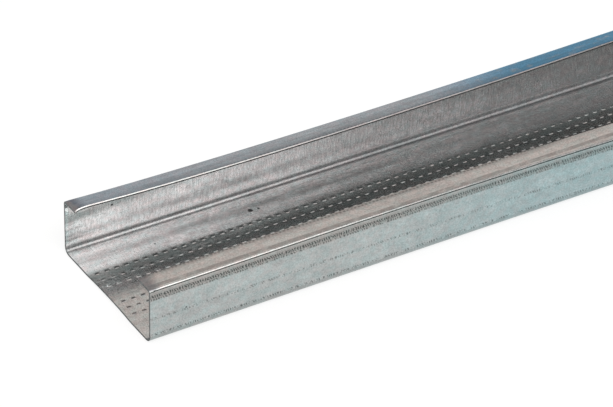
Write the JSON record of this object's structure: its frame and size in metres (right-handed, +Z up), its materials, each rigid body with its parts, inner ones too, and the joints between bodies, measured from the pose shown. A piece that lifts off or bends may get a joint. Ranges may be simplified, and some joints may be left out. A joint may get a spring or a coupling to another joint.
{
  "type": "ceiling furring channel",
  "caption": "Cold-rolled galvanised steel ceiling furring channel: a shallow lipped C section with a dimpled web, hung by its lips to carry plasterboard.",
  "frame": {"origin": "under the middle of the web, halfway along the channel, on the surface that it lies on", "axes": "+X along the channel, +Y across it, +Z up from the web towards the open side"},
  "size_m": [3, 0.047, 0.0176],
  "materials": {
    "galvanised_steel": "hot-dip zinc coat, satin, with fine cross streaks and roll marks"
  },
  "bodies": {
    "root": {"furring_channel": "galvanised_steel"}
  },
  "joints": []
}
